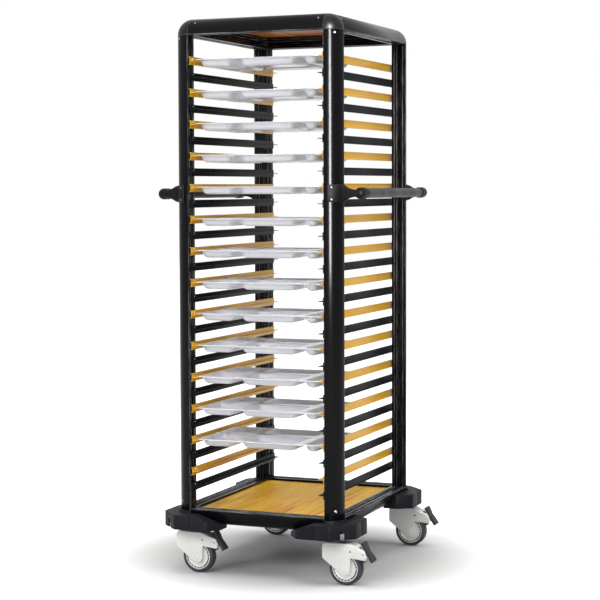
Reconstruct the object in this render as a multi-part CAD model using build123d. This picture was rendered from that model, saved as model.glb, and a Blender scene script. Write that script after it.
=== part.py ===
from build123d import *

import os
from math import cos, radians, sin, sqrt

# A tray trolley: a frame of quarter-round extrusions on four braked casters, with tray slides on both sides,
# a push handle on each side and a bumper at each bottom corner. Millimetres, +Z up, front at -Y.

# Bay between the posts
bay_width = 437.0
bay_depth = 581.0

# Tray slides
slide_pitch = 48.0
slide_levels = 28
head_room = 78.4
foot_room = 67.1
slide_length = 660.0
slide_height = 24.0
slide_wall = 2.2
slide_back_depth = 6.1
flange_width = 15.0
flange_thickness = 2.0

# Quarter-round extrusion: channel, slot and panel groove on each inner flat, and a hollow chamber
section_size = 48.0
section_wall = 2.8
channel_start = 8.0
channel_width = 23.0
channel_depth = 2.5
slot_width = 8.0
slot_depth = 6.0
groove_start = 37.0
groove_width = 6.4
groove_depth = 3.0

# Roof and deck panels
panel_clearance = 0.2
panel_corner_cut = 6.0

# Spigots of the corner castings and the caster stems, in the extrusions' chambers
spigot_size = 19.5
spigot_clearance = 0.2
casting_spigot_length = 40.0

# Bumpers, placed in plan from the post's inner corner
bumper_skirt = 8.5
bumper_height = 44.0
bumper_reach = 46.0
bumper_lobe_end = 72.0
bumper_corner_cut = 62.0
bumper_wing_length = 104.0
bumper_wing_tip = 5.0
bumper_wing_drop = 30.0
bumper_wing_flat = 28.0
bumper_inner_edge = 6.0
bumper_wall = 5.0
bumper_roof = 7.0
bumper_round = 20.0
bumper_collar_wall = 6.0
bumper_collar_height = 7.0
bumper_notch_width = 15.0
bumper_notch_height = 28.0
bumper_groove_offset = 18.0
bumper_groove_size = 4.0

# Wheels
wheel_diameter = 100.0
tyre_thickness = 9.5
tyre_width = 32.0
tyre_shoulder = 4.0
hub_rim_width = 29.0
hub_boss_diameter = 34.0
wheel_side_gap = 1.0
running_clearance = 0.08
axle_diameter = 10.0

# Caster housings, drawn from the wheel centre
caster_trail = 40.0
hood_rise = 26.0
housing_width = 48.0
housing_gap = 37.0
wheel_room = 4.0
nose_length = 30.0
nose_depth = 47.0
nose_round = 14.0
crown_length = 85.0
crown_round = 25.0
tail_length = 20.0
tail_height = 29.5
tail_drop = 17.0
tail_bevel = 9.0
arch_rise = 4.5
leg_radius = 19.0
stem_diameter = 16.0
stem_depth = 22.0
stem_end_gap = 1.0
stem_neck = 21.5
stem_nut_size = 27.0
stem_nut_height = 6.0
stem_spigot_length = 80.0
stem_inset = 20.5

# Brake pedals, drawn from the pivot
pivot_outset = 11.0
pivot_lift = 1.0
pivot_pin_diameter = 6.0
pedal_thickness = 7.0
pedal_pad_thickness = 9.5
pedal_pad_length = 14.0
pedal_width = 30.0
pedal_lower_arm = 36.0
pedal_upper_arm = 29.0
pedal_lean = 31.0
pedal_travel = 12.0
pedal_offset = 6.0
pedal_side_gap = 0.6
pedal_slot_room = 17.5
shoe_root_thickness = 12.0
shoe_thickness = 7.0
shoe_side_gap = 3.0
shoe_angle = 255.0
brake_gap = 0.4

# Handles
handle_height = 1157.0
handle_stand_off = 52.5
handle_bar_diameter = 29.0
elbow_diameter = 34.0
elbow_setback = 6.5
elbow_length = 34.0
elbow_overhang = 17.0
socket_depth = 20.0
socket_clearance = 0.1
socket_end_gap = 0.5
saddle_height = 51.0
saddle_thickness = 5.0
saddle_from_angle = 4.0
saddle_to_angle = 75.0
neck_width = 20.0
neck_height = 22.0
neck_taper_length = 36.0

# Trays
tray_count = 13
tray_side_clearance = 7.4
tray_depth = 312.0
tray_front_setback = 3.0
tray_rim_thickness = 2.6
tray_rim_width = 13.0
tray_corner = 20.0
tray_bowl_depth = 23.0
tray_wall = 2.4
tray_draft_angle = 20.0
tray_left_column = 106.0
tray_slot_column = 48.0
tray_divider = 25.0
tray_front_share = 0.56
bowl_corner = 12.0

# Places worked out from the sizes above
bay_x = bay_width / 2
bay_y = bay_depth / 2
housing_top = wheel_diameter + hood_rise
post_bottom = housing_top + stem_neck
base_top = post_bottom + section_size
bay_height = head_room + (slide_levels - 1) * slide_pitch + foot_room
roof_z = base_top + bay_height
chamber_start = channel_depth + slot_depth + 2.5
web_x = bay_x - slide_back_depth
tray_half_width = web_x - tray_side_clearance
bumper_bottom = post_bottom - bumper_skirt
stem_x = bay_x + stem_inset
stem_y = bay_y + stem_inset
wheel_radius = wheel_diameter / 2
axle_z = wheel_radius
hood_size = wheel_diameter + hood_rise
pivot_reach = wheel_radius + pivot_outset
pivot_rise = wheel_radius + pivot_lift
handle_x = bay_x + section_size + handle_stand_off
elbow_y = bay_y + elbow_setback
CORNERS = {"front_left": (-1, -1), "front_right": (1, -1), "rear_left": (-1, 1), "rear_right": (1, 1)}

os.makedirs("parts", exist_ok=True)
pieces = {}


def prism(outline, plane, amount, both=False):
    """Closed outline drawn on a plane and extruded."""
    return extrude(plane * make_face(Polyline(*outline, close=True)), amount=amount, both=both)


def quarter_disc(radius, start=0.0):
    """Part of a disc about the origin that lies beyond the start on both axes."""
    return Circle(radius) & Pos(start, start) * Rectangle(radius, radius, align=(Align.MIN, Align.MIN))


def spigot_face():
    """Square that fits the corner of the extrusion's chamber."""
    start = chamber_start + spigot_clearance
    return Pos(start, start) * Rectangle(spigot_size, spigot_size, align=(Align.MIN, Align.MIN))


def section_face():
    """Section of the extrusion: inner corner at the origin, flats along X and Y, arc outside."""
    face = quarter_disc(section_size) - quarter_disc(section_size - section_wall, chamber_start)
    middle = channel_start + channel_width / 2
    slot_bottom = channel_depth + slot_depth
    cuts = (
        (middle, channel_width, channel_depth),
        (middle, slot_width, slot_bottom),
        (groove_start + groove_width / 2, groove_width, groove_depth),
    )
    for centre, width, depth in cuts:
        face -= Pos(centre, depth / 2) * Rectangle(width, depth)
        face -= Pos(depth / 2, centre) * Rectangle(depth, width)
    return face


def run(face, corner, across, along, length):
    """Section swept straight: its origin starts at the corner, its X lies across."""
    return extrude(Plane(origin=corner, x_dir=across, z_dir=along) * face, amount=length)


def at_corner(shape, sx, sy):
    """Piece made for the rear right corner, mirrored to the corner with these signs."""
    if sx < 0:
        shape = mirror(shape, Plane.YZ)
    if sy < 0:
        shape = mirror(shape, Plane.XZ)
    return shape


def group(shapes):
    return Compound([solid for shape in shapes for solid in shape.solids()])


def at_all_corners(shape):
    return group([at_corner(shape, sx, sy) for sx, sy in CORNERS.values()])


def top_rails(face):
    """Rear and right rails of the roof for a section."""
    rear = run(face, (-bay_x, bay_y, roof_z), (0, 1, 0), (1, 0, 0), bay_width)
    right = run(face, (bay_x, bay_y, roof_z), (1, 0, 0), (0, -1, 0), bay_depth)
    return rear, right


def base_rails(face):
    """Rear and right rails of the base: flats up and inward, arc down and outward."""
    rear = run(face, (bay_x, bay_y, base_top), (0, 1, 0), (-1, 0, 0), bay_width)
    right = run(face, (bay_x, -bay_y, base_top), (1, 0, 0), (0, 1, 0), bay_depth)
    return rear, right


def corner_casting():
    """Eighth of a ball with a spigot for the post and for each of the two rails."""
    corner = (bay_x, bay_y, roof_z)
    room = Box(section_size, section_size, section_size, align=(Align.MIN,) * 3)
    body = Pos(*corner) * (Sphere(section_size) & room)
    body += Pos(*corner) * extrude(spigot_face(), amount=-casting_spigot_length)
    body += run(spigot_face(), corner, (0, 1, 0), (1, 0, 0), -casting_spigot_length)
    return body + run(spigot_face(), corner, (1, 0, 0), (0, -1, 0), casting_spigot_length)


def panel(top_z, thickness, seat):
    """Board that fills the bay and enters the rails on all four sides."""
    width = bay_width + 2 * seat
    depth = bay_depth + 2 * seat
    board = Pos(0, 0, top_z - thickness / 2) * Box(width, depth, thickness)
    return chamfer(board.edges().filter_by(Axis.Z), panel_corner_cut)


def slide(level, side):
    """Channel with its lips on the posts and a flange that carries the tray."""
    z = roof_z - head_room - level * slide_pitch
    half = slide_height / 2
    inner = web_x
    outer = web_x + slide_wall
    tip = web_x - flange_width
    ledge = flange_thickness / 2
    outline = [(inner, -ledge), (tip, -ledge), (tip, ledge), (inner, ledge), (inner, half), (bay_x, half)]
    outline += [(bay_x, half - slide_wall), (outer, half - slide_wall)]
    outline += [(outer, slide_wall - half), (bay_x, slide_wall - half), (bay_x, -half), (inner, -half)]
    bar = Pos(0, 0, z) * prism(outline, Plane.XZ, slide_length / 2, both=True)
    return bar if side > 0 else mirror(bar, Plane.YZ)


def bumper_outline(corner_round):
    """Plan of a bumper about the post's inner corner: two lobes beside a cut corner, each with a wing."""
    reach = section_size + bumper_reach
    tip = section_size + bumper_wing_tip
    cut = reach - bumper_corner_cut
    arm = [(-bumper_wing_length, bumper_inner_edge), (-bumper_wing_length, tip), (-bumper_lobe_end, reach)]
    arm.append((cut, reach))
    other = [(v, u) for u, v in reversed(arm)]
    points = arm + other + [(bumper_inner_edge, bumper_inner_edge)]
    face = make_face(Polyline(*points, close=True))
    lobes = [vertex for vertex in face.vertices() if reach - 0.1 < max(vertex.X, vertex.Y)]
    return fillet(lobes, corner_round) if corner_round else face


def bumper_form(outline, drop):
    """Bumper with sloping wings, lower by the drop when it is the pocket's form."""
    top = bumper_height - drop
    low = top - bumper_wing_drop
    end = bumper_wing_length + 1.0
    start = bumper_wing_flat
    form = extrude(outline, amount=top)
    side = section_size + bumper_reach + 1.0
    slope = [(-start, top), (-end, low), (-end, top + 1.0), (-start, top + 1.0)]
    form -= prism(slope, Plane.XZ, -side)
    across = Plane(origin=(0, 0, 0), x_dir=(0, -1, 0), z_dir=(1, 0, 0))
    form -= prism([(-u, z) for u, z in slope], across, side)
    return form


def bumper():
    """Moulded cap of the rear right corner, open underneath, that fits the post and both base rails."""
    shell = bumper_form(bumper_outline(bumper_round), 0.0)
    collar = quarter_disc(section_size + bumper_collar_wall)
    collar_foot = bumper_height - bumper_roof
    shell += Pos(0, 0, collar_foot) * extrude(collar, amount=bumper_roof + bumper_collar_height)
    shell -= bumper_form(offset(bumper_outline(0.0), -bumper_wall), bumper_roof)
    reach = section_size + bumper_reach
    groove = Box(bumper_groove_size, bumper_groove_size, 3 * bumper_height)
    shell -= Pos(-bumper_groove_offset, reach) * groove
    shell -= Pos(reach, -bumper_groove_offset) * groove
    notch = Pos(reach, 0, 0) * Box(2 * bumper_corner_cut, bumper_notch_width, 2 * bumper_notch_height)
    shell -= Rot(0, 0, 45) * notch
    shell = Pos(bay_x, bay_y, bumper_bottom) * shell
    solid_section = quarter_disc(section_size)
    shell -= Pos(bay_x, bay_y, post_bottom) * extrude(solid_section, amount=2 * section_size)
    for rail in base_rails(solid_section):
        shell -= rail
    return shell


def turned(profile):
    """Profile of radius against distance from the middle plane, turned about the wheel axis."""
    return revolve(make_face(Polyline(*profile, close=True)), Axis.Y)


def hub():
    """Disc that carries the tyre, with a raised boss on each side and a running bore."""
    bore = axle_diameter / 2 + running_clearance
    boss = hub_boss_diameter / 2
    face = housing_gap / 2 - wheel_side_gap
    rim = hub_rim_width / 2
    half = [(bore, face), (boss, face), (boss, rim), (wheel_radius - tyre_thickness, rim)]
    return turned(half + [(r, -y) for r, y in reversed(half)])


def tyre():
    """Ring with bevelled shoulders on the hub's seat."""
    section = Pos(wheel_radius - tyre_thickness / 2, 0) * Rectangle(tyre_thickness, tyre_width)
    shoulders = section.vertices().group_by(Axis.X)[-1]
    return revolve(chamfer(shoulders, tyre_shoulder), Axis.Y)


def housing_face():
    """Side view of the housing about the wheel centre: hood, tail and a leg down to the axle."""
    top = housing_top - axle_z
    nose = (-caster_trail - nose_length, top - nose_depth)
    tail_x = wheel_radius + tail_length
    tail_z = wheel_radius - tail_drop - arch_rise
    arch = (leg_radius, tail_z + arch_rise)
    outline = {
        nose: 0.0,
        (nose[0], top): nose_round,
        (nose[0] + crown_length, top): crown_round,
        (tail_x - tail_bevel, tail_z + tail_height): 0.0,
        (tail_x, tail_z + tail_height / 3): 0.0,
        (tail_x - tail_bevel / 2, tail_z): 0.0,
        arch: 0.0,
    }
    hood = make_face(FilletPolyline(*outline, radius=list(outline.values()), close=True))
    leg = make_hull(Circle(leg_radius).edges() + Line(nose, arch).edges())
    return hood + leg


def cross_pin(radius, length):
    """Cylinder along the wheel's axis."""
    return Cylinder(radius, length, rotation=(90, 0, 0))


def caster_housing():
    """Hooded fork about the wheel centre, with the stem's bore, the axle and the pedal's pin."""
    body = extrude(Plane.XZ * housing_face(), amount=housing_width / 2, both=True)
    room = Rot(0, 0, 22.5) * RegularPolygon(wheel_radius + wheel_room, 8, major_radius=False)
    body -= extrude(Plane.XZ * room, amount=housing_gap / 2, both=True)
    slot_x = pivot_reach - pedal_slot_room
    slot_width = pedal_width + 2 * pedal_side_gap
    slot = Box(hood_size, slot_width, hood_size, align=(Align.MIN, Align.CENTER, Align.MIN))
    body -= Pos(slot_x, 0, 0) * slot
    depth = stem_depth + stem_end_gap
    bore = Cylinder(stem_diameter / 2 + running_clearance, depth)
    body -= Pos(-caster_trail, 0, housing_top - axle_z - depth / 2) * bore
    body += cross_pin(axle_diameter / 2, housing_gap)
    return body + Pos(pivot_reach, 0, pivot_rise) * cross_pin(pivot_pin_diameter / 2, slot_width)


def shoe_length():
    """Reach from the pivot at which the shoe's near corner stops just off the tyre with the pedal down."""
    angle = radians(shoe_angle - pedal_travel)
    corner_x = pivot_reach + shoe_thickness / 2 * sin(angle)
    corner_z = pivot_rise - shoe_thickness / 2 * cos(angle)
    along = corner_x * cos(angle) + corner_z * sin(angle)
    stop = wheel_radius + brake_gap
    return -along - sqrt(along**2 - corner_x**2 - corner_z**2 + stop**2)


def pedal():
    """Rocker pedal about its pivot: plate with a thick pad at each end, brake shoe and a bore for the pin."""
    back = pedal_offset - pedal_thickness / 2
    front = back + pedal_thickness
    pad = back + pedal_pad_thickness
    side = [(back, -pedal_lower_arm), (pad, -pedal_lower_arm), (pad, pedal_pad_length - pedal_lower_arm)]
    side += [(front, 0), (pad, pedal_upper_arm - pedal_pad_length)]
    side += [(pad, pedal_upper_arm), (back, pedal_upper_arm)]
    plate = Rot(0, -pedal_lean, 0) * prism(side, Plane.XZ, pedal_width / 2, both=True)
    tip = (shoe_length(), shoe_thickness / 2)
    root = shoe_root_thickness / 2
    arm = [(-root, -root), (tip[0], -tip[1]), tip, (-root, root)]
    shoe = Rot(0, -shoe_angle, 0) * prism(arm, Plane.XZ, pedal_width / 2 - shoe_side_gap, both=True)
    return plate + shoe - cross_pin(pivot_pin_diameter / 2 + running_clearance, pedal_width)


def caster_stem():
    """Shaft, nut under the post and spigot inside it, about the stem's axis at the post's bottom."""
    shaft_length = stem_neck + stem_depth
    shaft = Pos(0, 0, -shaft_length / 2) * Cylinder(stem_diameter / 2, shaft_length)
    nut = extrude(RegularPolygon(stem_nut_size / 2, 6, major_radius=False), amount=-stem_nut_height)
    spigot = Pos(-stem_inset, -stem_inset) * extrude(spigot_face(), amount=stem_spigot_length)
    return Pos(stem_x, stem_y, post_bottom) * (shaft + nut + spigot)


def handle_bracket():
    """Saddle on the post's arc, tapering neck, and elbow with a socket for the bar."""
    inner = section_size
    outer = section_size + saddle_thickness
    sweep = saddle_to_angle - saddle_from_angle
    outer_arc = CenterArc((0, 0), outer, saddle_from_angle, sweep)
    inner_arc = CenterArc((0, 0), inner, saddle_from_angle, sweep)
    ends = [Line(outer_arc @ 1, inner_arc @ 1), Line(inner_arc @ 0, outer_arc @ 0)]
    saddle = extrude(make_face([outer_arc, inner_arc] + ends), amount=saddle_height / 2, both=True)
    reach = handle_x - bay_x
    tall = saddle_height / 2
    low = neck_height / 2
    waist = outer + neck_taper_length
    side = [(inner, tall), (outer, tall), (waist, low), (reach, low)]
    side += [(reach, -low), (waist, -low), (outer, -tall), (inner, -tall)]
    neck = Pos(0, elbow_setback + neck_width / 2, 0) * prism(side, Plane.XZ, neck_width)
    elbow = cross_pin(elbow_diameter / 2, elbow_length + elbow_overhang)
    elbow = Pos(reach, elbow_setback + (elbow_overhang - elbow_length) / 2) * elbow
    bore = cross_pin(handle_bar_diameter / 2 + socket_clearance, socket_depth)
    bore = Pos(reach, elbow_setback - elbow_length + socket_depth / 2) * bore
    return Pos(bay_x, bay_y, handle_height) * (saddle + neck + elbow - bore)


def handle_bar():
    """Sleeved bar whose ends enter the two elbows of the right side."""
    length = 2 * (elbow_y - elbow_length + socket_depth - socket_end_gap)
    return Pos(handle_x, 0, handle_height) * cross_pin(handle_bar_diameter / 2, length)


def cut_rectangle(width, depth, corner):
    """Rectangle with cut corners."""
    return chamfer(Rectangle(width, depth).vertices(), corner)


def bowl(face, height):
    """Well that tapers from a face at zero height down."""
    well = extrude(face, amount=-height)
    return draft(well.faces().filter_by(Axis.Z, reverse=True), Plane.XY, -tray_draft_angle)


def compartments():
    """Middle and size of each compartment, about the tray's middle."""
    inner_width = 2 * (tray_half_width - tray_rim_width)
    inner_depth = tray_depth - 2 * tray_rim_width
    middle_column = inner_width - tray_left_column - tray_slot_column - 2 * tray_divider
    left = -inner_width / 2
    front = -inner_depth / 2
    front_row = (inner_depth - tray_divider) * tray_front_share
    rear_row = inner_depth - tray_divider - front_row
    found = []
    for start, width in ((left, tray_left_column), (left + tray_left_column + tray_divider, middle_column)):
        x = start + width / 2
        found.append((x, front + front_row / 2, width, front_row))
        found.append((x, front + inner_depth - rear_row / 2, width, rear_row))
    found.append((inner_width / 2 - tray_slot_column / 2, 0.0, tray_slot_column, inner_depth))
    return found


def tray():
    """Moulded tray with its rim's underside at zero height and its middle at the origin."""
    shape = extrude(cut_rectangle(2 * tray_half_width, tray_depth, tray_corner), amount=tray_rim_thickness)
    wells = compartments()
    around = 2 * tray_wall
    for x, y, width, depth in wells:
        shape += Pos(x, y, 0) * bowl(Rectangle(width + around, depth + around), tray_bowl_depth)
    inside = tray_bowl_depth + tray_rim_thickness - tray_wall
    for x, y, width, depth in wells:
        shape -= Pos(x, y, tray_rim_thickness) * bowl(cut_rectangle(width, depth, bowl_corner), inside)
    return shape


# Frame
post = run(section_face(), (bay_x, bay_y, post_bottom), (1, 0, 0), (0, 0, 1), roof_z - post_bottom)
bumper_solid = bumper()
for name, (sx, sy) in CORNERS.items():
    pieces["post_" + name] = at_corner(post, sx, sy)
    pieces["bumper_" + name] = at_corner(bumper_solid, sx, sy)
for prefix, (rear_rail, right_rail) in {
    "top_rail_": top_rails(section_face()),
    "base_rail_": base_rails(section_face()),
}.items():
    pieces[prefix + "rear"] = rear_rail
    pieces[prefix + "front"] = mirror(rear_rail, Plane.XZ)
    pieces[prefix + "right"] = right_rail
    pieces[prefix + "left"] = mirror(right_rail, Plane.YZ)
pieces["corner_castings"] = at_all_corners(corner_casting())
deck_thickness = channel_width - 2 * panel_clearance
roof_thickness = groove_width - 2 * panel_clearance
deck_top = base_top - channel_start - panel_clearance
roof_top = roof_z + groove_start + groove_width - panel_clearance
pieces["deck_panel"] = panel(deck_top, deck_thickness, channel_depth - panel_clearance)
pieces["roof_panel"] = panel(roof_top, roof_thickness, groove_depth - panel_clearance)

# Slides, golden and black in turn
for side_name, side in (("left", -1), ("right", 1)):
    for colour, first in (("golden", 0), ("black", 1)):
        levels = range(first, slide_levels, 2)
        pieces["slides_" + colour + "_" + side_name] = group([slide(level, side) for level in levels])

# Handles
bar = handle_bar()
pieces["handle_bar_right"] = bar
pieces["handle_bar_left"] = mirror(bar, Plane.YZ)
pieces["handle_brackets"] = at_all_corners(handle_bracket())

# Casters, all trailing to the right
pieces["caster_stems"] = at_all_corners(caster_stem())
housing = caster_housing()
wheel_hub = hub()
wheel_tyre = tyre()
brake = Pos(pivot_reach, 0, pivot_rise) * pedal()
for name, (sx, sy) in CORNERS.items():
    centre = Pos(sx * stem_x + caster_trail, sy * stem_y, axle_z)
    pieces["caster_housing_" + name] = centre * housing
    pieces["wheel_hub_" + name] = centre * wheel_hub
    pieces["tyre_" + name] = centre * wheel_tyre
    pieces["brake_pedal_" + name] = centre * brake

# Trays, one on each golden slide from the top
tray_solid = tray()
tray_y = -slide_length / 2 + tray_front_setback + tray_depth / 2
for number in range(tray_count):
    rest_z = roof_z - head_room - 2 * number * slide_pitch + flange_thickness / 2
    pieces[f"tray_{number + 1:02d}"] = Pos(0, tray_y, rest_z) * tray_solid

# The origin is on the floor, in the middle of the space that the whole trolley takes up
low_x = min(shape.bounding_box().min.X for shape in pieces.values())
high_x = max(shape.bounding_box().max.X for shape in pieces.values())
middle_x = (low_x + high_x) / 2
for name, shape in pieces.items():
    export_step(Pos(-middle_x, 0, 0) * shape, "parts/" + name + ".step")
print(len(pieces), "nodes, origin shifted by", round(middle_x, 3))
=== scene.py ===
from math import cos, pi, radians, sin

import bmesh
import bpy
from bmesh.types import BMEdge, BMFace, BMVert
from mathutils import Matrix, Vector


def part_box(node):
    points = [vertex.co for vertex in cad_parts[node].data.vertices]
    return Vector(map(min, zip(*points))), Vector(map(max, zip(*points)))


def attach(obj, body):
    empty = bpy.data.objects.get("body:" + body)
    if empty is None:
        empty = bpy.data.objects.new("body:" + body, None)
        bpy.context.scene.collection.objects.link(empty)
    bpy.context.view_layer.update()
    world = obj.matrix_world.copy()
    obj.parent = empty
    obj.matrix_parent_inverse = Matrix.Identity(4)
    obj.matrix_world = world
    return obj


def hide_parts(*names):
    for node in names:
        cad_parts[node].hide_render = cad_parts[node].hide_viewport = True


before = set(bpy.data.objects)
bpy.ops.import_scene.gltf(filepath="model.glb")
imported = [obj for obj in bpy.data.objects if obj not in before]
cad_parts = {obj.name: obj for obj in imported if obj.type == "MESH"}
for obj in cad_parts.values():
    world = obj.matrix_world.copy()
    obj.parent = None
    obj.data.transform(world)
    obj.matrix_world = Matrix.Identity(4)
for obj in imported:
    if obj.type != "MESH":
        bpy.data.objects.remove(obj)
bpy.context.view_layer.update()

# Frame extrusions: four posts, four roof rails and four base rails in one quarter-round aluminium section,
# black anodised. Each inner flat has a T-slot in a shallow channel and a groove that takes a panel's edge.
# The rails butt against the corner castings, and their sawn ends are lightly broken.
CORNERS = {"front_left": (-1, -1), "front_right": (1, -1), "rear_left": (-1, 1), "rear_right": (1, 1)}
SIDES = {"left": -1, "right": 1}
WELD = 2e-6
MM_PER_METRE = 1000
section_flat = [
    (0, 0), (8, 0), (8, 2.5), (15.5, 2.5), (15.5, 8.5), (23.5, 8.5), (23.5, 2.5),
    (31, 2.5), (31, 0), (37, 0), (37, 3), (43.4, 3), (43.4, 0), (48, 0),
]
section_steps = 28
sawn_edge = 0.0007


def paint(red, green, blue):
    """Colour as a paint chart gives it, turned into the linear values that the shader takes."""
    return [((c / 255 + 0.055) / 1.055) ** 2.4 if c > 10 else c / 3295 for c in (red, green, blue)] + [1.0]


def feed(node, inputs):
    """Sets a shader node's inputs to values, or links other nodes' outputs to them."""
    for name, value in inputs.items():
        if isinstance(value, bpy.types.NodeSocket):
            node.id_data.links.new(value, node.inputs[name])
        else:
            node.inputs[name].default_value = value


def add(tree, kind, output, inputs=None, **settings):
    """Adds a shader node with its settings and inputs, and returns one of its outputs."""
    node = tree.nodes.new(kind)
    for name, value in settings.items():
        setattr(node, name, value)
    feed(node, inputs or {})
    return node.outputs[output]


def new_material(name):
    """Material with nodes, together with its node tree and its Principled node."""
    material = bpy.data.materials.new(name)
    material.use_nodes = True
    return material, material.node_tree, material.node_tree.nodes["Principled BSDF"]


def object_place(tree, stretch):
    """Coordinates of the object itself, scaled along each axis."""
    place = add(tree, "ShaderNodeTexCoord", "Object")
    return add(tree, "ShaderNodeMapping", "Vector", {"Vector": place, "Scale": stretch})


def surface_finish(
    name, colour, cloud, rubbed_and_highlight, rough, grain, relief, stretch=(1, 1, 1), metal=0.0, coat=0.0, shine=0.5
):
    """Clouded colour, uneven gloss, fine relief, and bevelled edges in another colour: rubbed wear, and on
    the black frame a near-white painted highlight.
    """
    material, tree, skin = new_material(name)
    place = object_place(tree, stretch)
    clouds = add(tree, "ShaderNodeTexNoise", "Fac", {"Vector": place, "Scale": 14.0, "Detail": 5.0})
    specks = add(tree, "ShaderNodeTexNoise", "Fac", {"Vector": place, "Scale": grain, "Detail": 3.0})
    spread = add(tree, "ShaderNodeMapRange", "Result", {"Value": clouds, "From Min": 0.35, "From Max": 0.65})
    tone = add(
        tree, "ShaderNodeMix", "Result", {"Factor": spread, "A": colour, "B": cloud}, data_type="RGBA"
    )
    # Bevelled faces lean toward the edge colour: rubbed wear, and on the black frame a painted highlight.
    edge = add(tree, "ShaderNodeAttribute", "Fac", attribute_name="edge")
    patchy = add(
        tree, "ShaderNodeMapRange", "Result",
        {"Value": specks, "From Min": 0.4, "From Max": 0.7, "To Max": 0.6},
    )
    wear_and_highlight = add(tree, "ShaderNodeMath", "Value", {0: edge, 1: patchy}, operation="MULTIPLY")
    worn_and_highlit = add(tree, "ShaderNodeMix", "Result", {"Factor": wear_and_highlight, "A": tone, "B": rubbed_and_highlight}, data_type="RGBA")
    gloss = add(
        tree, "ShaderNodeMapRange", "Result",
        {"Value": clouds, "From Min": 0.3, "From Max": 0.7, "To Min": rough * 0.8, "To Max": rough * 1.25},
    )
    bump = add(tree, "ShaderNodeBump", "Normal", {"Strength": 0.35, "Distance": relief, "Height": specks})
    feed(skin, {
        "Base Color": worn_and_highlit, "Metallic": metal, "Roughness": gloss, "Normal": bump,
        "Coat Weight": coat, "Coat Roughness": 0.12, "Specular IOR Level": shine,
    })
    return material


def new_shape():
    """Empty mesh whose faces can be marked as edges that wear."""
    shape = bmesh.new()
    shape.faces.layers.float.new("edge")
    return shape


def only(kind, items):
    """Items of one kind among those that an operator returns."""
    return [item for item in items if isinstance(item, kind)]


def soften(shape, width, steps=2, angle=35):
    """Rounds every edge sharper than the angle and marks the new faces."""
    bmesh.ops.remove_doubles(shape, verts=shape.verts, dist=WELD)
    edges = [edge for edge in shape.edges if edge.is_manifold and edge.calc_face_angle() > radians(angle)]
    made = bmesh.ops.bevel(
        shape, geom=edges, offset=width, segments=steps, profile=0.5, affect="EDGES", material=-1,
        clamp_overlap=True,
    )
    layer = shape.faces.layers.float["edge"]
    for face in made["faces"]:
        face[layer] = 1.0


def lay(shape, across, up, along, origin, verts=None):
    """Turns a shape's X, Y and Z to three directions and moves it to a place."""
    matrix = Matrix((across, up, along)).transposed().to_4x4()
    matrix.translation = origin
    bmesh.ops.transform(shape, matrix=matrix, verts=verts or shape.verts)


def draw_out(shape, faces, height):
    """Draws faces out along Z into a closed prism."""
    top = bmesh.ops.extrude_face_region(shape, geom=faces, use_keep_orig=True)["geom"]
    bmesh.ops.translate(shape, vec=(0, 0, height), verts=only(BMVert, top))


def make_piece(name, shape, material, body, slot, *nodes, smooth=35):
    """Closes a mesh into a finished piece that rides on its body and stands for its nodes."""
    bmesh.ops.remove_doubles(shape, verts=shape.verts, dist=WELD)
    bmesh.ops.recalc_face_normals(shape, faces=shape.faces)
    mesh = bpy.data.meshes.new(name)
    shape.to_mesh(mesh)
    shape.free()
    mesh.shade_smooth()
    mesh.set_sharp_from_angle(angle=radians(smooth))
    mesh.materials.append(material)
    piece = bpy.data.objects.new(name, mesh)
    bpy.context.scene.collection.objects.link(piece)
    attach(piece, body)
    if nodes:
        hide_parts(*nodes)
    return piece


def drawn_black(name, stretch):
    """Black anodised skin with faint die lines along the extrusion, and near-white painted highlights on its
    broken edges.
    """
    return surface_finish(
        name, paint(12, 12, 15), paint(18, 18, 21), paint(222, 222, 228), 0.19, 900.0, 0.00003, stretch,
        shine=0.07,
    )


def extrusion(length):
    """Quarter-round section about its inner corner, drawn out along Z."""
    shape = new_shape()
    verts = [shape.verts.new((u / MM_PER_METRE, v / MM_PER_METRE, 0)) for u, v in section_flat]
    edges = [shape.edges.new(pair) for pair in zip(verts, verts[1:])]
    twins = only(BMVert, bmesh.ops.duplicate(shape, geom=verts + edges)["geom"])
    lay(shape, (0, 1, 0), (1, 0, 0), (0, 0, 1), (0, 0, 0), twins)
    bmesh.ops.spin(
        shape, geom=[verts[-1]], cent=(0, 0, 0), axis=(0, 0, 1), angle=pi / 2, steps=section_steps,
        use_merge=False,
    )
    bmesh.ops.remove_doubles(shape, verts=shape.verts, dist=WELD)
    face = bmesh.ops.contextual_create(shape, geom=shape.edges[:])["faces"][0]
    draw_out(shape, [face], length)
    soften(shape, sawn_edge)
    return shape


frame_z = drawn_black("frame_black_upright", (1, 1, 0.02))
frame_x = drawn_black("frame_black_crosswise", (0.02, 1, 1))
frame_y = drawn_black("frame_black_lengthwise", (1, 0.02, 1))
inner = {}
for corner, (sx, sy) in CORNERS.items():
    low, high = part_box("post_" + corner)
    inner[corner] = Vector((low.x if sx > 0 else high.x, low.y if sy > 0 else high.y, low.z))
    post = extrusion(high.z - low.z)
    lay(post, (sx, 0, 0), (0, sy, 0), (0, 0, 1), inner[corner])
    make_piece("post_skin_" + corner, post, frame_z, "frame", "frame_black", "post_" + corner)
outward_of = {"front": (0, -1, 0), "rear": (0, 1, 0), "left": (-1, 0, 0), "right": (1, 0, 0)}
for level, rise in (("top", 1), ("base", -1)):
    for side, out in outward_of.items():
        node = level + "_rail_" + side
        low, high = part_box(node)
        crosswise = out[0] == 0
        start = Vector((
            high.x if out[0] < 0 else low.x,
            high.y if out[1] < 0 else low.y,
            low.z if rise > 0 else high.z,
        ))
        rail = extrusion(high.x - low.x if crosswise else high.y - low.y)
        lay(rail, out, (0, 0, rise), (1, 0, 0) if crosswise else (0, 1, 0), start)
        make_piece(
            node + "_skin", rail, frame_x if crosswise else frame_y, "frame", "frame_black", node
        )

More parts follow.
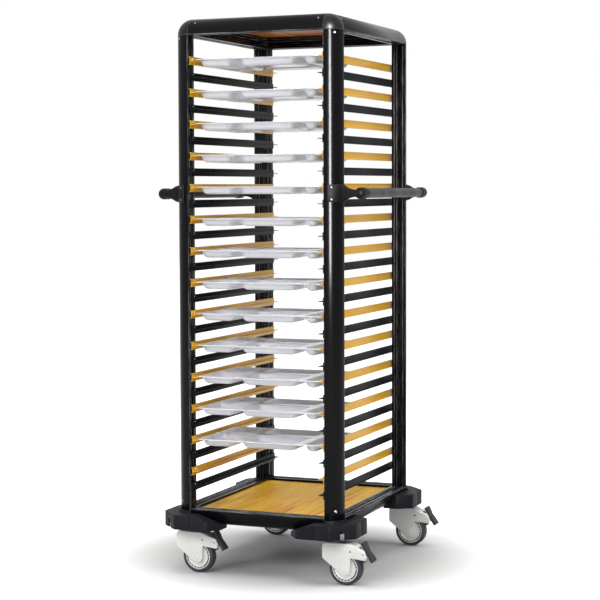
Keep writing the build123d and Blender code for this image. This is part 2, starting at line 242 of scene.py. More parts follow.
# Corner castings: three-way corners cast in aluminium and coated black, round outside to match the section.
# Each has spigots that go into the post and the two rails, so only its ball-shaped cap is seen.
section_size = 0.048
top_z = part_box("corner_castings")[1].z
cast_black = surface_finish(
    "cast_black", paint(18, 18, 21), paint(25, 25, 29), paint(72, 72, 78), 0.3, 1400.0, 0.00008, shine=0.2
)


def on_corner_line(corner, z):
    """Point at a height on the upright line that a post's round section turns about."""
    return Vector((inner[corner].x, inner[corner].y, z))


castings = new_shape()
for corner, (sx, sy) in CORNERS.items():
    ball = bmesh.ops.create_uvsphere(castings, u_segments=96, v_segments=48, radius=section_size)["verts"]
    for axis in ((1, 0, 0), (0, 1, 0), (0, 0, 1)):
        geom = list({face for vert in ball for face in vert.link_faces})
        geom += list({edge for vert in ball for edge in vert.link_edges}) + ball
        cut = bmesh.ops.bisect_plane(
            castings, geom=geom, plane_co=(0, 0, 0), plane_no=axis, dist=1e-7, clear_inner=True
        )
        bmesh.ops.contextual_create(castings, geom=only(BMEdge, cut["geom_cut"]))
        ball = [vert for vert in set(only(BMVert, cut["geom"] + cut["geom_cut"])) if vert.is_valid]
    lay(castings, (sx, 0, 0), (0, sy, 0), (0, 0, 1), on_corner_line(corner, top_z - section_size), ball)
soften(castings, 0.0004, 2, 60)
make_piece("corner_caps", castings, cast_black, "frame", "frame_black", "corner_castings")

# Roof and deck boards: laminated boards whose edges sit in the rails' grooves and channels. The deck is
# golden with a darker grain that runs front to back, the roof's underside is a deeper orange-brown, and the
# side that nobody sees, below the deck and on the roof, has a plain dark sheet glued on.
back_limit = 0.5


def board_finish(name, light, middle, dark, rough, back):
    """Printed wood grain, with a dark sheet on the side that faces back: 1 for up and -1 for down."""
    material, tree, skin = new_material(name)
    place = object_place(tree, (1.0, 0.05, 1.0))
    sway = add(tree, "ShaderNodeTexNoise", "Fac", {"Vector": place, "Scale": 7.0, "Detail": 3.0})
    bands = add(
        tree, "ShaderNodeTexNoise", "Fac",
        {"Vector": place, "Scale": 38.0, "Detail": 4.0, "Distortion": 0.4},
    )
    pores = add(tree, "ShaderNodeTexNoise", "Fac", {"Vector": place, "Scale": 230.0, "Detail": 2.0})
    grain = add(tree, "ShaderNodeValToRGB", "Color", {"Fac": bands})
    tones = grain.node.color_ramp.elements
    tones[0].position = 0.3
    tones[0].color = dark
    tones[1].position = 0.66
    tones[1].color = light
    tones.new(0.46).color = middle
    pore_fade_and_painted_shade = add(
        tree, "ShaderNodeMapRange", "Result",
        {"Value": pores, "From Min": 0.3, "From Max": 0.6, "To Min": 0.45},
    )
    shade = add(
        tree, "ShaderNodeMix", "Result", {"Factor": 0.3, "A": grain, "B": pore_fade_and_painted_shade},
        data_type="RGBA", blend_type="MULTIPLY",
    )
    facing = add(tree, "ShaderNodeNewGeometry", "Normal")
    level = add(tree, "ShaderNodeSeparateXYZ", "Z", {"Vector": facing})
    turned_back = add(
        tree, "ShaderNodeMath", "Value", {0: level, 1: back * back_limit},
        operation="GREATER_THAN" if back > 0 else "LESS_THAN",
    )
    sheet = add(
        tree, "ShaderNodeMix", "Result", {"Factor": sway, "A": paint(46, 44, 42), "B": paint(58, 56, 53)},
        data_type="RGBA",
    )
    side = add(
        tree, "ShaderNodeMix", "Result", {"Factor": turned_back, "A": shade, "B": sheet}, data_type="RGBA"
    )
    gloss = add(
        tree, "ShaderNodeMapRange", "Result", {"Value": sway, "To Min": rough * 0.8, "To Max": rough * 1.2}
    )
    bump = add(tree, "ShaderNodeBump", "Normal", {"Strength": 0.3, "Distance": 0.0001, "Height": pores})
    feed(skin, {"Base Color": side, "Roughness": gloss, "Normal": bump, "Specular IOR Level": 0.12})
    return material


deck_wood = board_finish("deck_wood", paint(255, 208, 74), paint(246, 188, 46), paint(206, 140, 20), 0.5, -1)
roof_wood = board_finish("roof_wood", paint(198, 116, 14), paint(172, 92, 6), paint(120, 60, 2), 0.42, 1)
for node, wood in (("deck_panel", deck_wood), ("roof_panel", roof_wood)):
    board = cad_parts[node]
    board.data.materials.clear()
    board.data.materials.append(wood)

# Tray slides: 28 levels on each side, golden and black in turn. Each is a shallow channel rolled from thin
# anodised aluminium with a flange that carries the tray, held to both posts by screws into their slots.
golden_skin = surface_finish(
    "golden_anodised", paint(228, 178, 42), paint(212, 160, 30), paint(246, 220, 130), 0.34, 700.0, 0.00003,
    (1, 0.03, 1), metal=0.1, shine=0.25,
)
black_skin = surface_finish(
    "slide_black_anodised", paint(13, 13, 16), paint(20, 20, 24), paint(90, 90, 96), 0.4, 700.0, 0.00003,
    (1, 0.03, 1), shine=0.04,
)
slide_profile = [
    (0, -1), (-15, -1), (-15, 1), (0, 1), (0, 12), (6.1, 12), (6.1, 9.8), (2.2, 9.8), (2.2, -9.8),
    (6.1, -9.8), (6.1, -12), (0, -12),
]
slide_back_depth = 0.0061
slide_half_height = 0.012
slide_pitch = 0.096
slide_count = 14


def slide_web(low, high, sx):
    """Place across of the webs on one side, which is the side's box less the slides' backs."""
    return high.x - slide_back_depth if sx > 0 else low.x + slide_back_depth


for colour, skin in (("golden", golden_skin), ("black", black_skin)):
    for side, sx in SIDES.items():
        node = "slides_" + colour + "_" + side
        low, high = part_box(node)
        bar = new_shape()
        outline = [bar.verts.new((x / MM_PER_METRE, z / MM_PER_METRE, 0)) for x, z in slide_profile]
        draw_out(bar, [bar.faces.new(outline)], high.y - low.y)
        soften(bar, 0.0003)
        origin = (slide_web(low, high, sx), low.y, high.z - slide_half_height)
        lay(bar, (sx, 0, 0), (0, 0, 1), (0, 1, 0), origin)
        geom = bar.verts[:] + bar.edges[:] + bar.faces[:]
        for number in range(1, slide_count):
            copy = bmesh.ops.duplicate(bar, geom=geom)["geom"]
            bmesh.ops.translate(bar, vec=(0, 0, -slide_pitch * number), verts=only(BMVert, copy))
        make_piece(node + "_skin", bar, skin, "frame", "slide_" + colour, node)

# Trays: thirteen moulded white trays with five compartments, formed from one thin sheet. The rim rests on
# the slides' flanges, and the compartments hang below it with sloping walls and rounded floors.
tray_gloss = surface_finish(
    "tray_gloss_white", paint(234, 234, 239), paint(226, 227, 232), paint(243, 243, 245), 0.24, 300.0,
    0.00005, coat=0.15,
)
tray_low, tray_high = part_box("tray_01")
tray_size = tray_high - tray_low
tray_count = 13
tray_wall = 0.0024
rim_width = 0.013
rim_corner = 0.021
lip_width = 0.002
lip_drops = (0.0008, 0.0012)
well_gap = 0.025
well_corner = 0.022
left_column = 0.106
right_column = 0.048
front_share = 0.56
well_steps = [
    (0.0006, -0.0002), (0.0012, -0.0012), (0.0038, -0.0092), (0.0028, -0.0045), (0.003, -0.0028),
    (0.0034, -0.0016), (0.0036, -0.0008),
]


def tray_wells():
    """Middle and size of each compartment: two at the left, two in the middle, one long one at the right."""
    width = tray_size.x - 2 * rim_width
    depth = tray_size.y - 2 * rim_width
    middle_column = width - left_column - right_column - 2 * well_gap
    front = (depth - well_gap) * front_share
    rear = depth - well_gap - front
    wells = [(width / 2 - right_column / 2, 0.0, right_column, depth)]
    for start, size in ((-width / 2, left_column), (-width / 2 + left_column + well_gap, middle_column)):
        wells.append((start + size / 2, -depth / 2 + front / 2, size, front))
        wells.append((start + size / 2, depth / 2 - rear / 2, size, rear))
    return wells


def round_plate(shape, x, y, width, depth, radius):
    """Flat face with round corners."""
    signs = ((-1, -1), (1, -1), (1, 1), (-1, 1))
    verts = [shape.verts.new((x + i * width / 2, y + j * depth / 2, 0)) for i, j in signs]
    shape.faces.new(verts)
    bmesh.ops.bevel(
        shape, geom=verts, offset=radius, segments=7, profile=0.5, affect="VERTICES", material=-1
    )
    shape.faces.ensure_lookup_table()
    return shape.faces[-1]


tray = new_shape()
for well in tray_wells():
    round_plate(tray, *well, well_corner)
well_floors = tray.faces[:]
flat_x = tray_size.x - lip_width
flat_y = tray_size.y - lip_width
rim = round_plate(tray, 0.0, 0.0, flat_x, flat_y, rim_corner)
rim_edges = rim.edges[:]
bmesh.ops.delete(tray, geom=[rim], context="FACES_ONLY")
bmesh.ops.triangle_fill(tray, use_beauty=True, use_dissolve=False, edges=tray.edges[:], normal=(0, 0, 1))
for thickness, depth in well_steps:
    bmesh.ops.inset_region(
        tray, faces=well_floors, thickness=thickness, depth=depth, use_even_offset=True
    )
lip = bmesh.ops.extrude_edge_only(tray, edges=rim_edges)["geom"]
lip_verts = only(BMVert, lip)
bmesh.ops.scale(tray, vec=(tray_size.x / flat_x, tray_size.y / flat_y, 1), verts=lip_verts)
bmesh.ops.translate(tray, vec=(0, 0, -lip_drops[0]), verts=lip_verts)
fall = bmesh.ops.extrude_edge_only(tray, edges=only(BMEdge, lip))["geom"]
bmesh.ops.translate(tray, vec=(0, 0, -lip_drops[1]), verts=only(BMVert, fall))
bmesh.ops.recalc_face_normals(tray, faces=tray.faces)
if max(tray.faces, key=lambda face: face.calc_area()).normal.z < 0:
    bmesh.ops.reverse_faces(tray, faces=tray.faces)
bmesh.ops.solidify(tray, geom=tray.faces[:], thickness=tray_wall)
for number in range(1, tray_count + 1):
    node = f"tray_{number:02d}"
    low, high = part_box(node)
    copy = tray.copy()
    bmesh.ops.translate(copy, vec=((low.x + high.x) / 2, (low.y + high.y) / 2, high.z), verts=copy.verts)
    make_piece(f"moulded_tray_{number:02d}", copy, tray_gloss, node, "tray_white", node)
tray.free()

# Push handles: a grey sleeved bar on each side between two black moulded brackets. Each bracket has a curved
# saddle screwed to the post, a neck that tapers out from it, and a round elbow that holds the bar's end.
handle_grey = surface_finish(
    "handle_sleeve_grey", paint(66, 69, 72), paint(58, 61, 64), paint(105, 108, 110), 0.45, 1600.0, 0.00008,
    shine=0.07,
)
handle_black = surface_finish(
    "bracket_black", paint(27, 25, 29), paint(35, 33, 37), paint(110, 110, 114), 0.45, 1500.0, 0.0001,
    shine=0.05,
)
bar_radius = 0.0145
sleeve_setback = 0.0205
elbow_radius = 0.017
elbow_from_post = 0.0065
elbow_length = 0.034
socket_radius = 0.0147
socket_depth = 0.012
saddle_inner = 0.0481
saddle_outer = 0.053
saddle_half = 0.0255
saddle_start = radians(4)
saddle_sweep = radians(71)
neck_half = 0.0098
neck_roundness = 0.55
bracket_low, bracket_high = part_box("handle_brackets")
handle_z = (bracket_low.z + bracket_high.z) / 2


def turned(shape, profile, axis, steps=48):
    """Profile of radius and place along the axis, spun right round the Y or Z axis."""
    side = Vector((0, 0, 1)) if axis[1] else Vector((1, 0, 0))
    verts = [shape.verts.new(side * radius + Vector(axis) * place) for radius, place in profile]
    edges = [shape.edges.new(pair) for pair in zip(verts, verts[1:])]
    bmesh.ops.spin(
        shape, geom=verts + edges, cent=(0, 0, 0), axis=axis, angle=2 * pi, steps=steps, use_merge=True
    )


def mirrored(profile):
    """Profile followed by its mirror image on the far side."""
    return profile + [(radius, -place) for radius, place in reversed(profile)]


def join(whole, part):
    """Adds one closed form to another and returns the vertices it brought."""
    bmesh.ops.remove_doubles(part, verts=part.verts, dist=WELD)
    bmesh.ops.recalc_face_normals(part, faces=part.faces)
    mesh = bpy.data.meshes.new("part")
    part.to_mesh(mesh)
    count = len(whole.verts)
    whole.from_mesh(mesh)
    bpy.data.meshes.remove(mesh)
    whole.verts.ensure_lookup_table()
    return whole.verts[count:]


for side in SIDES:
    low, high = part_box("handle_bar_" + side)
    half = (high.y - low.y) / 2
    grip = half - sleeve_setback
    end = [
        (0.0, -half), (0.0118, -half), (0.0122, -half + 0.0006), (0.0122, -grip - 0.004),
        (0.0136, -grip - 0.0035), (bar_radius, -grip - 0.0022), (bar_radius, -grip + 0.0035),
        (0.0137, -grip + 0.0042), (0.0137, -grip + 0.006), (bar_radius, -grip + 0.0067),
    ]
    bar = new_shape()
    turned(bar, mirrored(end), (0, 1, 0))
    bmesh.ops.translate(bar, vec=(low + high) / 2, verts=bar.verts)
    make_piece("grip_bar_" + side, bar, handle_grey, "frame", "handle_grip", "handle_bar_" + side)

bracket = new_shape()
saddle = new_shape()
saddle_section = [
    (saddle_inner, -saddle_half), (saddle_outer, -saddle_half),
    (saddle_outer, saddle_half), (saddle_inner, saddle_half),
]
end = saddle.faces.new([
    saddle.verts.new((radius * cos(saddle_start), radius * sin(saddle_start), z))
    for radius, z in saddle_section
])
bmesh.ops.spin(
    saddle, geom=[end], cent=(0, 0, 0), axis=(0, 0, 1), angle=saddle_sweep, steps=18, use_merge=False
)
soften(saddle, 0.0008, 3)
join(bracket, saddle)
reach = bracket_high.x - elbow_radius - inner["rear_right"].x
neck = new_shape()
neck_y = elbow_from_post + 0.01
neck_stations = [
    (0.047, 0.025), (0.054, 0.0235), (0.062, 0.019), (0.071, 0.0142), (0.08, 0.0116), (0.089, 0.011),
    (reach, 0.011),
]
rings = []
for x, tall in neck_stations:
    ring = bmesh.ops.create_circle(neck, segments=32, radius=1.0)["verts"]
    for vert in ring:
        across, up = (abs(part) ** neck_roundness * (1 if part > 0 else -1) for part in vert.co.xy)
        vert.co = Vector((x, neck_y + neck_half * across, tall * up))
    rings.append(list({edge for vert in ring for edge in vert.link_edges}))
for near, far in zip(rings, rings[1:]):
    bmesh.ops.bridge_loops(neck, edges=near + far)
bmesh.ops.holes_fill(neck, edges=rings[0] + rings[-1], sides=0)
join(bracket, neck)
elbow = new_shape()
dome = [(elbow_radius * sin(radians(turn)), elbow_radius * cos(radians(turn))) for turn in range(0, 90, 10)]
mouth = [(elbow_radius, 0.0), (elbow_radius, 0.0012 - elbow_length), (elbow_radius - 0.001, -elbow_length)]
socket = [
    (socket_radius, -elbow_length), (socket_radius, socket_depth - elbow_length),
    (0.0, socket_depth - elbow_length),
]
turned(elbow, dome + mouth + socket, (0, 1, 0))
bmesh.ops.translate(elbow, vec=(reach, elbow_from_post, 0), verts=elbow.verts)
join(bracket, elbow)
brackets = new_shape()
for corner, (sx, sy) in CORNERS.items():
    added = join(brackets, bracket)
    lay(brackets, (sx, 0, 0), (0, sy, 0), (0, 0, 1), on_corner_line(corner, handle_z), added)
make_piece("handle_saddles_and_elbows", brackets, handle_black, "frame", "handle_black", "handle_brackets")

# Corner bumpers: charcoal mouldings that wrap each bottom corner, with a lobe on each side of a cut corner, a
# sloping wing along each base rail, a groove in each lobe, and a raised collar where the post comes out.
bumper_charcoal = surface_finish(
    "bumper_charcoal", paint(30, 30, 36), paint(38, 38, 43), paint(96, 96, 102), 0.42, 1900.0, 0.00015,
    shine=0.03,
)
upright_least_length = 0.02
upright_least_turn = radians(20)
upright_most_turn = radians(70)
lobe_round = 0.009


def solid_copy(node):
    """Copy of a node's mesh with its corners merged and its flat faces joined."""
    shape = new_shape()
    shape.from_mesh(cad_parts[node].data)
    bmesh.ops.remove_doubles(shape, verts=shape.verts, dist=WELD)
    bmesh.ops.dissolve_limit(shape, angle_limit=radians(0.5), verts=shape.verts, edges=shape.edges)
    return shape


for corner in CORNERS:
    node = "bumper_" + corner
    bumper = solid_copy(node)
    uprights = [
        edge for edge in bumper.edges
        if edge.calc_length() > upright_least_length
        and abs((edge.verts[0].co - edge.verts[1].co).normalized().z) > 0.999
        and edge.is_convex and upright_least_turn < edge.calc_face_angle(0) < upright_most_turn
    ]
    bmesh.ops.bevel(
        bumper, geom=uprights, offset=lobe_round, segments=6, profile=0.5, affect="EDGES", material=-1,
        clamp_overlap=True,
    )
    soften(bumper, 0.0016, 3, 25)
    make_piece("corner_bumper_" + corner, bumper, bumper_charcoal, "frame", "bumper_charcoal", node)

# Caster stems: each a white coated shaft up from the caster's swivel, with a black nut under the post and a
# square plug inside it. A flanged collar closes the swivel's bearing on top of the housing.
caster_white = surface_finish(
    "caster_white", paint(240, 240, 236), paint(233, 233, 229), paint(250, 250, 248), 0.34, 1300.0, 0.00008,
    shine=0.15,
)
nut_black = surface_finish(
    "nut_black", paint(30, 30, 33), paint(38, 38, 41), paint(96, 96, 100), 0.42, 1300.0, 0.00005,
    metal=0.4, shine=0.25,
)
stem_low, stem_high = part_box("caster_stems")
caster_trail = 0.04
shaft_radius = 0.008
collar_gap = 0.0002
nut_height = 0.006
nut_radius = 0.0155
plug_size = 0.0195
plug_offset = 0.00045
post_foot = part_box("post_front_left")[0].z
nut_foot = post_foot - nut_height
stems = new_shape()
nuts = new_shape()
wheel_middle = {}
for corner, (sx, sy) in CORNERS.items():
    low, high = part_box("tyre_" + corner)
    wheel_middle[corner] = (low + high) / 2
    place = Vector((wheel_middle[corner].x - caster_trail, wheel_middle[corner].y, 0))
    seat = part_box("caster_housing_" + corner)[1].z + collar_gap
    shaft = new_shape()
    turned(shaft, [
        (0.0, stem_low.z), (shaft_radius - 0.0006, stem_low.z), (shaft_radius, stem_low.z + 0.0006),
        (shaft_radius, seat), (0.0135, seat), (0.0135, seat + 0.001), (0.0125, seat + 0.0014),
        (0.0105, seat + 0.0034), (0.0095, seat + 0.0042), (shaft_radius, seat + 0.0043),
        (shaft_radius, nut_foot), (0.0, nut_foot),
    ], (0, 0, 1), 40)
    bmesh.ops.translate(stems, vec=place, verts=join(stems, shaft))
    nut = new_shape()
    bmesh.ops.create_circle(nut, cap_ends=True, segments=6, radius=nut_radius)
    draw_out(nut, nut.faces[:], nut_height)
    soften(nut, 0.0006)
    bmesh.ops.translate(nuts, vec=place + Vector((0, 0, nut_foot)), verts=join(nuts, nut))
    plug = new_shape()
    bmesh.ops.create_cube(plug, size=1.0)
    bmesh.ops.scale(plug, vec=(plug_size, plug_size, stem_high.z - post_foot), verts=plug.verts)
    soften(plug, 0.0008)
    middle = place + Vector((sx * plug_offset, sy * plug_offset, (stem_high.z + post_foot) / 2))
    bmesh.ops.translate(nuts, vec=middle, verts=join(nuts, plug))
make_piece("stem_shafts", stems, caster_white, "frame", "stem_white", "caster_stems")
make_piece("stem_nuts_and_plugs", nuts, nut_black, "frame", "frame_black")

# Caster housings: white moulded hoods with a round nose, two cheeks down to the axle, and a tail that holds
# the pedal's pin. Each has a small three-cornered rivet hole in the cheek, drawn as a thin dark mark of
# painted shade that stands proud of the cheek, an axle cap, and the pin's ends, which are drawn 3.8 mm from
# the pedal's own axis.
hole_painted_shade = surface_finish(
    "hole_painted_shade", paint(24, 24, 26), paint(30, 30, 32), paint(40, 40, 42), 0.7, 1500.0, 0.00005, shine=0.1
)
pin_steel = surface_finish(
    "pin_steel", paint(150, 152, 156), paint(132, 134, 138), paint(190, 192, 196), 0.35, 1400.0, 0.00004,
    metal=0.8,
)
housing_half = 0.024
rim_round = 0.0034
axle_cap = [(0.0, 0.0022), (0.0045, 0.0021), (0.0075, 0.0015), (0.0088, 0.0006), (0.0092, 0.0)]
pin_head = [(0.0, 0.0009), (0.0018, 0.0008), (0.0025, 0.0004), (0.0026, 0.0)]
pin_end = (0.0595, 0.0475)
hole_place = (0.019, 0.053)
painted_hole_thickness = 0.0003


def on_cheek(shape, middle, side, x=0.0, z=0.0):
    """Lays a shape flat on one cheek of the housing, at a place from the axle."""
    origin = (middle.x + x, middle.y + side * housing_half, middle.z + z)
    lay(shape, (1, 0, 0), (0, 0, -side), (0, side, 0), origin)


for corner in CORNERS:
    body = "fork_" + corner
    node = "caster_housing_" + corner
    middle = wheel_middle[corner]
    hood = solid_copy(node)
    rims = [
        edge for edge in hood.edges
        if edge.calc_face_angle(0) > radians(30)
        and all(abs(vert.co.y - middle.y) > housing_half - 1e-4 for vert in edge.verts)
    ]
    bmesh.ops.bevel(hood, geom=rims, offset=rim_round, segments=5, profile=0.5, affect="EDGES", material=-1)
    soften(hood, 0.0004, 2, 40)
    hardware = new_shape()
    for side, end_name in ((-1, "_front"), (1, "_rear")):
        cap = new_shape()
        turned(cap, axle_cap, (0, 0, 1), 40)
        on_cheek(cap, middle, side)
        join(hood, cap)
        pin = new_shape()
        turned(pin, pin_head, (0, 0, 1), 24)
        on_cheek(pin, middle, side, *pin_end)
        join(hardware, pin)
        # The rivet hole is a thin dark triangle that stands proud of the cheek: painted shade for the hole.
        mark = new_shape()
        verts = bmesh.ops.create_circle(mark, cap_ends=True, segments=3, radius=0.0042)["verts"]
        bmesh.ops.bevel(
            mark, geom=verts, offset=0.0014, segments=4, profile=0.5, affect="VERTICES", material=-1
        )
        draw_out(mark, mark.faces[:], painted_hole_thickness)
        on_cheek(mark, middle, side, *hole_place)
        make_piece("hood_hole_" + corner + end_name, mark, hole_painted_shade, body, "caster_white")
    make_piece("hood_" + corner, hood, caster_white, body, "caster_white", node)
    make_piece("pedal_pin_" + corner, hardware, pin_steel, body, "caster_white")

# Wheels: a slate tyre with rounded shoulders on a white moulded hub. The hub has a boss, a shallow dish, and
# a ring of short slots just inside the tyre, parted by small ribs. The slots' walls and floors take a dark
# grey finish as painted shade.
tyre_slate = surface_finish(
    "tyre_slate", paint(70, 74, 80), paint(62, 66, 72), paint(98, 103, 109), 0.55, 900.0, 0.00012, shine=0.08
)
hub_gloss = surface_finish(
    "hub_white", paint(236, 236, 232), paint(229, 229, 225), paint(248, 248, 246), 0.4, 1300.0, 0.00008,
    shine=0.15,
)
slot_painted_shade = surface_finish(
    "slot_painted_shade", paint(60, 64, 70), paint(68, 72, 78), paint(80, 84, 90), 0.7, 1300.0, 0.00005, shine=0.2
)
wheel_steps = 96
slot_inner = 0.0335
slot_outer = 0.037
slot_edge = 0.0145
rib_count = 22
rib_size = (0.0038, 0.0286, 0.0019)
rib_radius = 0.0352
tread = mirrored([
    (0.0406, 0.016), (0.0445, 0.016), (0.0452, 0.0157), (0.0462, 0.0154), (0.0475, 0.0148),
    (0.0487, 0.0137), (0.0495, 0.0123), (0.0499, 0.0108), (0.05, 0.009),
])
hub_profile = mirrored([
    (0.0052, 0.0175), (0.0162, 0.0175), (0.017, 0.0167), (0.017, 0.0146), (0.0186, 0.0128),
    (0.0215, 0.0118), (0.0295, 0.0122), (0.0322, 0.0134), (slot_inner, 0.0144), (0.0337, 0.008),
    (0.0368, 0.008), (slot_outer, 0.0144), (0.0396, 0.0145), (0.0404, 0.0138), (0.0405, 0.012),
])
for corner in CORNERS:
    body = "wheel_" + corner
    middle = wheel_middle[corner]
    ring = new_shape()
    turned(ring, tread + tread[:1], (0, 1, 0), wheel_steps)
    bmesh.ops.translate(ring, vec=middle, verts=ring.verts)
    make_piece("tyre_ring_" + corner, ring, tyre_slate, body, "tyre_grey", "tyre_" + corner)
    disc = new_shape()
    turned(disc, hub_profile + hub_profile[:1], (0, 1, 0), wheel_steps)
    # Faces inside the ring of slots take the second, dark finish: painted shade for the slots' darkness.
    for face in disc.faces:
        centre = face.calc_center_median()
        if slot_inner < centre.xz.length < slot_outer and abs(centre.y) < slot_edge:
            face.material_index = 1
    rib = new_shape()
    bmesh.ops.create_cube(rib, size=1.0)
    bmesh.ops.scale(rib, vec=rib_size, verts=rib.verts)
    bmesh.ops.translate(rib, vec=(rib_radius, 0, 0), verts=rib.verts)
    for number in range(rib_count):
        turn = Matrix.Rotation(2 * pi * number / rib_count, 3, "Y")
        bmesh.ops.rotate(disc, cent=(0, 0, 0), matrix=turn, verts=join(disc, rib))
    bmesh.ops.translate(disc, vec=middle, verts=disc.verts)
    hub = make_piece("hub_disc_" + corner, disc, hub_gloss, body, "hub_white", "wheel_hub_" + corner)
    hub.data.materials.append(slot_painted_shade)

# Brake pedals: dark grey rocker levers on the housing's pin. Each end has a thick pad with cross grooves for
# the shoe, and the arm behind presses on the tyre when the lower pad is trodden down.
pedal_grey = surface_finish(
    "pedal_grey", paint(48, 51, 54), paint(56, 59, 62), paint(104, 107, 111), 0.48, 1500.0, 0.00012,
    shine=0.08,
)
pedal_lean = radians(31)
pad_outward = Vector((cos(pedal_lean), 0, sin(pedal_lean)))
pad_along = Vector((-sin(pedal_lean), 0, cos(pedal_lean)))
pivot_place = Vector((0.061, 0, 0.051))
pad_spans = ((-0.036, -0.022), (0.015, 0.029))
pad_least_area = 1e-4
groove_pitch = 0.002
groove_cuts = 5
groove_depth = 0.0009
for corner in CORNERS:
    node = "brake_pedal_" + corner
    pivot = wheel_middle[corner] + pivot_place
    lever = solid_copy(node)
    soften(lever, 0.0009, 3, 20)
    for start, stop in pad_spans:
        pads = [
            face for face in lever.faces
            if face.normal.dot(pad_outward) > 0.99 and face.calc_area() > pad_least_area
            and start < (face.calc_center_median() - pivot).dot(pad_along) < stop
        ]
        for number in range(1, groove_cuts + 1):
            edges = list({edge for face in pads for edge in face.edges})
            verts = list({vert for face in pads for vert in face.verts})
            level = start + groove_pitch + groove_pitch * number
            cut = bmesh.ops.bisect_plane(
                lever, geom=pads + edges + verts, plane_co=pivot + pad_along * level, plane_no=pad_along,
                dist=1e-6,
            )
            pads = only(BMFace, cut["geom"])
        strips = []
        for face in pads:
            height = (face.calc_center_median() - pivot).dot(pad_along) - start - groove_pitch
            if int(height / groove_pitch) % 2 == 1:
                strips.append(face)
        bmesh.ops.inset_region(lever, faces=strips, thickness=0.0003, depth=-groove_depth)
    make_piece("rocker_pedal_" + corner, lever, pedal_grey, "pedal_" + corner, "pedal_grey", node)

# Screws: button heads with a socket. Four hold each handle saddle, one holds each post at its top and bottom,
# one holds each end of the top rails, and small pan heads hold the slides to the posts.
screw_black = surface_finish(
    "screw_black", paint(96, 96, 100), paint(84, 84, 88), paint(170, 170, 174), 0.32, 1200.0, 0.00004,
    metal=0.6,
)
screw_bright = surface_finish(
    "screw_bright", paint(170, 170, 172), paint(150, 150, 152), paint(215, 215, 217), 0.28, 1200.0, 0.00004,
    metal=0.9,
)
button_head = [
    (0.0, 0.0002), (0.0016, 0.0002), (0.0017, 0.0011), (0.0021, 0.0013), (0.003, 0.0011), (0.0037, 0.0004),
    (0.0038, -0.0006),
]
pan_head = [
    (0.0, 0.0003), (0.0011, 0.0003), (0.0012, 0.0009), (0.0023, 0.0008), (0.0027, 0.0), (0.0027, -0.0004),
]
saddle_screw_turns = (22, 62)
saddle_screw_levels = (-0.018, 0.018)
post_screw_turn = 48
post_screw_from_cap = 0.011
post_screw_from_foot = 0.07
rail_screw_from_cap = 0.02
pan_from_end = 0.02
pan_above_flange = 0.0065
button = new_shape()
turned(button, button_head, (0, 0, 1), 20)
black_heads = new_shape()
bright_heads = new_shape()


def drive(heads, place, outward):
    """Puts a screw head at a place with its axis along a direction."""
    along = Vector(outward).normalized()
    across = along.orthogonal().normalized()
    lay(heads, across, along.cross(across), along, place, join(heads, button))


def from_post(turn, sx, sy):
    """Direction straight out of a post's round face, at an angle from the X axis in degrees."""
    return Vector((sx * cos(radians(turn)), sy * sin(radians(turn)), 0))


for corner, (sx, sy) in CORNERS.items():
    for turn in saddle_screw_turns:
        for level in saddle_screw_levels:
            outward = from_post(turn, sx, sy)
            place = on_corner_line(corner, handle_z + level) + outward * saddle_outer
            drive(black_heads, place, outward)
    outward = from_post(post_screw_turn, sx, sy)
    for level in (top_z - section_size - post_screw_from_cap, inner[corner].z + post_screw_from_foot):
        drive(bright_heads, on_corner_line(corner, level) + outward * section_size, outward)
    for outward, along in (((0, sy * 0.7, 0.7), (-sx, 0, 0)), ((sx * 0.7, 0, 0.7), (0, -sy, 0))):
        place = on_corner_line(corner, top_z - section_size) + Vector(along) * rail_screw_from_cap
        drive(black_heads, place + Vector(outward).normalized() * section_size, outward)
make_piece("saddle_and_rail_screws", black_heads, screw_black, "frame", "handle_black")
make_piece("post_screws", bright_heads, screw_bright, "frame", "frame_black")

pan = new_shape()
turned(pan, pan_head, (0, 0, 1), 10)
for colour, steel in (("golden", screw_bright), ("black", screw_black)):
    pans = new_shape()
    for side, sx in SIDES.items():
        low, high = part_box("slides_" + colour + "_" + side)
        for number in range(slide_count):
            level = high.z - slide_half_height + pan_above_flange - slide_pitch * number
            for y in (low.y + pan_from_end, high.y - pan_from_end):
                origin = (slide_web(low, high, sx), y, level)
                lay(pans, (0, 1, 0), (0, 0, -sx), (-sx, 0, 0), origin, join(pans, pan))
    make_piece(colour + "_slide_screws", pans, steel, "frame", "slide_" + colour)

# Camera, floor and light: the photograph's own viewing point, a pale floor that fades to white away from the
# trolley, and soft light from large lamps. The floor's glow is left out near the trolley, which paints shade
# round it on top of its real shadow. The strip lamp shows only as a gloss on the posts, and the other lamps
# show in no gloss at all.
deck_low, deck_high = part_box("deck_panel")
middle_x = (deck_low.x + deck_high.x) / 2
camera_data = bpy.data.cameras.new("camera")
camera_data.lens = 105.2
camera_data.sensor_width = 36.0
camera_data.shift_x = 0.0794
camera_data.shift_y = -0.0327
camera_heading = 23.033
camera_dip = 2.99
camera_roll = -0.275
camera = bpy.data.objects.new("camera", camera_data)
camera.matrix_world = (
    Matrix.Translation((2.0366 + middle_x, -5.1485, 1.1714))
    @ Matrix.Rotation(radians(camera_heading), 4, "Z")
    @ Matrix.Rotation(radians(90 - camera_dip), 4, "X")
    @ Matrix.Rotation(radians(camera_roll), 4, "Z")
)
bpy.context.scene.collection.objects.link(camera)
bpy.context.scene.camera = camera
bpy.context.scene.view_settings.view_transform = "Standard"


def seen_by(tree, *rays):
    """One where a ray is of one of these kinds, and zero elsewhere."""
    path = tree.nodes.new("ShaderNodeLightPath")
    shown = path.outputs[rays[0]]
    for ray in rays[1:]:
        shown = add(tree, "ShaderNodeMath", "Value", {0: shown, 1: path.outputs[ray]}, operation="MAXIMUM")
    return shown


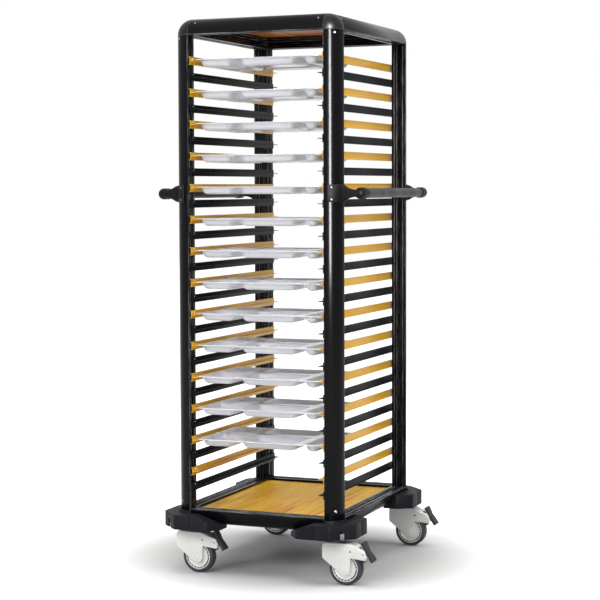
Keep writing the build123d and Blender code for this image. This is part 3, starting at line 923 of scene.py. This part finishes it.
floor_white, tree, skin = new_material("floor_white")
feed(skin, {"Base Color": (0.6, 0.6, 0.6, 1.0), "Roughness": 0.9, "Specular IOR Level": 0.1})
flat = object_place(tree, (1.0, 1.0, 0.0))
away = add(tree, "ShaderNodeVectorMath", "Value", {0: flat}, operation="LENGTH")
# The glow is left out near the trolley and rises to near-white away from it: painted shade round the trolley,
# on top of its real shadow.
pore_fade_and_painted_shade = add(
    tree, "ShaderNodeMapRange", "Result",
    {"Value": away, "From Min": 0.34, "From Max": 0.9, "To Min": 0.0, "To Max": 0.95},
    interpolation_type="SMOOTHSTEP",
)
shown = seen_by(tree, "Is Camera Ray", "Is Glossy Ray")
glow_strength_with_painted_shade = add(tree, "ShaderNodeMath", "Value", {0: shown, 1: pore_fade_and_painted_shade}, operation="MULTIPLY")
glow = add(tree, "ShaderNodeEmission", "Emission", {"Strength": glow_strength_with_painted_shade})
both = add(tree, "ShaderNodeAddShader", "Shader", {0: skin.outputs["BSDF"], 1: glow})
feed(tree.nodes["Material Output"], {"Surface": both})
floor_shape = bmesh.new()
bmesh.ops.create_grid(floor_shape, x_segments=1, y_segments=1, size=20.0)
floor_mesh = bpy.data.meshes.new("floor")
floor_shape.to_mesh(floor_mesh)
floor_shape.free()
floor_mesh.materials.append(floor_white)
floor = bpy.data.objects.new("floor", floor_mesh)
bpy.context.scene.collection.objects.link(floor)

world = bpy.data.worlds.new("studio")
bpy.context.scene.world = world
world.use_nodes = True
tree = world.node_tree
room = tree.nodes["Background"]
feed(room, {"Color": (1, 1, 1, 1), "Strength": 0.33})
white = add(tree, "ShaderNodeBackground", "Background", {"Color": (1, 1, 1, 1), "Strength": 1.0})
shown = seen_by(tree, "Is Camera Ray", "Is Glossy Ray", "Is Transmission Ray")
blend = add(
    tree, "ShaderNodeMixShader", "Shader", {"Fac": shown, 1: room.outputs["Background"], 2: white}
)
feed(tree.nodes["World Output"], {"Surface": blend})

lamps = (
    ("top_lamp", (0.3, -0.4, 4.2), (0.0, 0.0, 0.0), 3.0, 3.0, 110.0),
    ("strip_lamp", (2.1, -3.75, 2.3), (0.2, -0.3, 2.1), 0.8, 3.0, 1400.0),
    ("front_lamp", (-0.6, -4.4, 3.0), (0.0, 0.0, 0.9), 2.0, 1.6, 95.0),
    ("fill_lamp", (-3.2, -1.6, 3.0), (0.0, 0.0, 0.9), 1.6, 1.8, 50.0),
    ("side_lamp", (3.6, 0.6, 3.0), (0.0, 0.0, 0.9), 1.6, 1.8, 60.0),
    ("back_lamp", (-1.2, 3.8, 3.0), (0.0, 0.0, 1.0), 2.0, 2.0, 50.0),
)
for name, place, target, width, height, power in lamps:
    light = bpy.data.lights.new(name, "AREA")
    light.shape = "RECTANGLE"
    light.size = width
    light.size_y = height
    light.energy = power
    lamp = bpy.data.objects.new(name, light)
    lamp.location = place
    lamp.rotation_euler = (Vector(target) - Vector(place)).to_track_quat("-Z", "Y").to_euler()
    lamp.visible_diffuse = name != "strip_lamp"
    lamp.visible_glossy = name == "strip_lamp"
    bpy.context.scene.collection.objects.link(lamp)
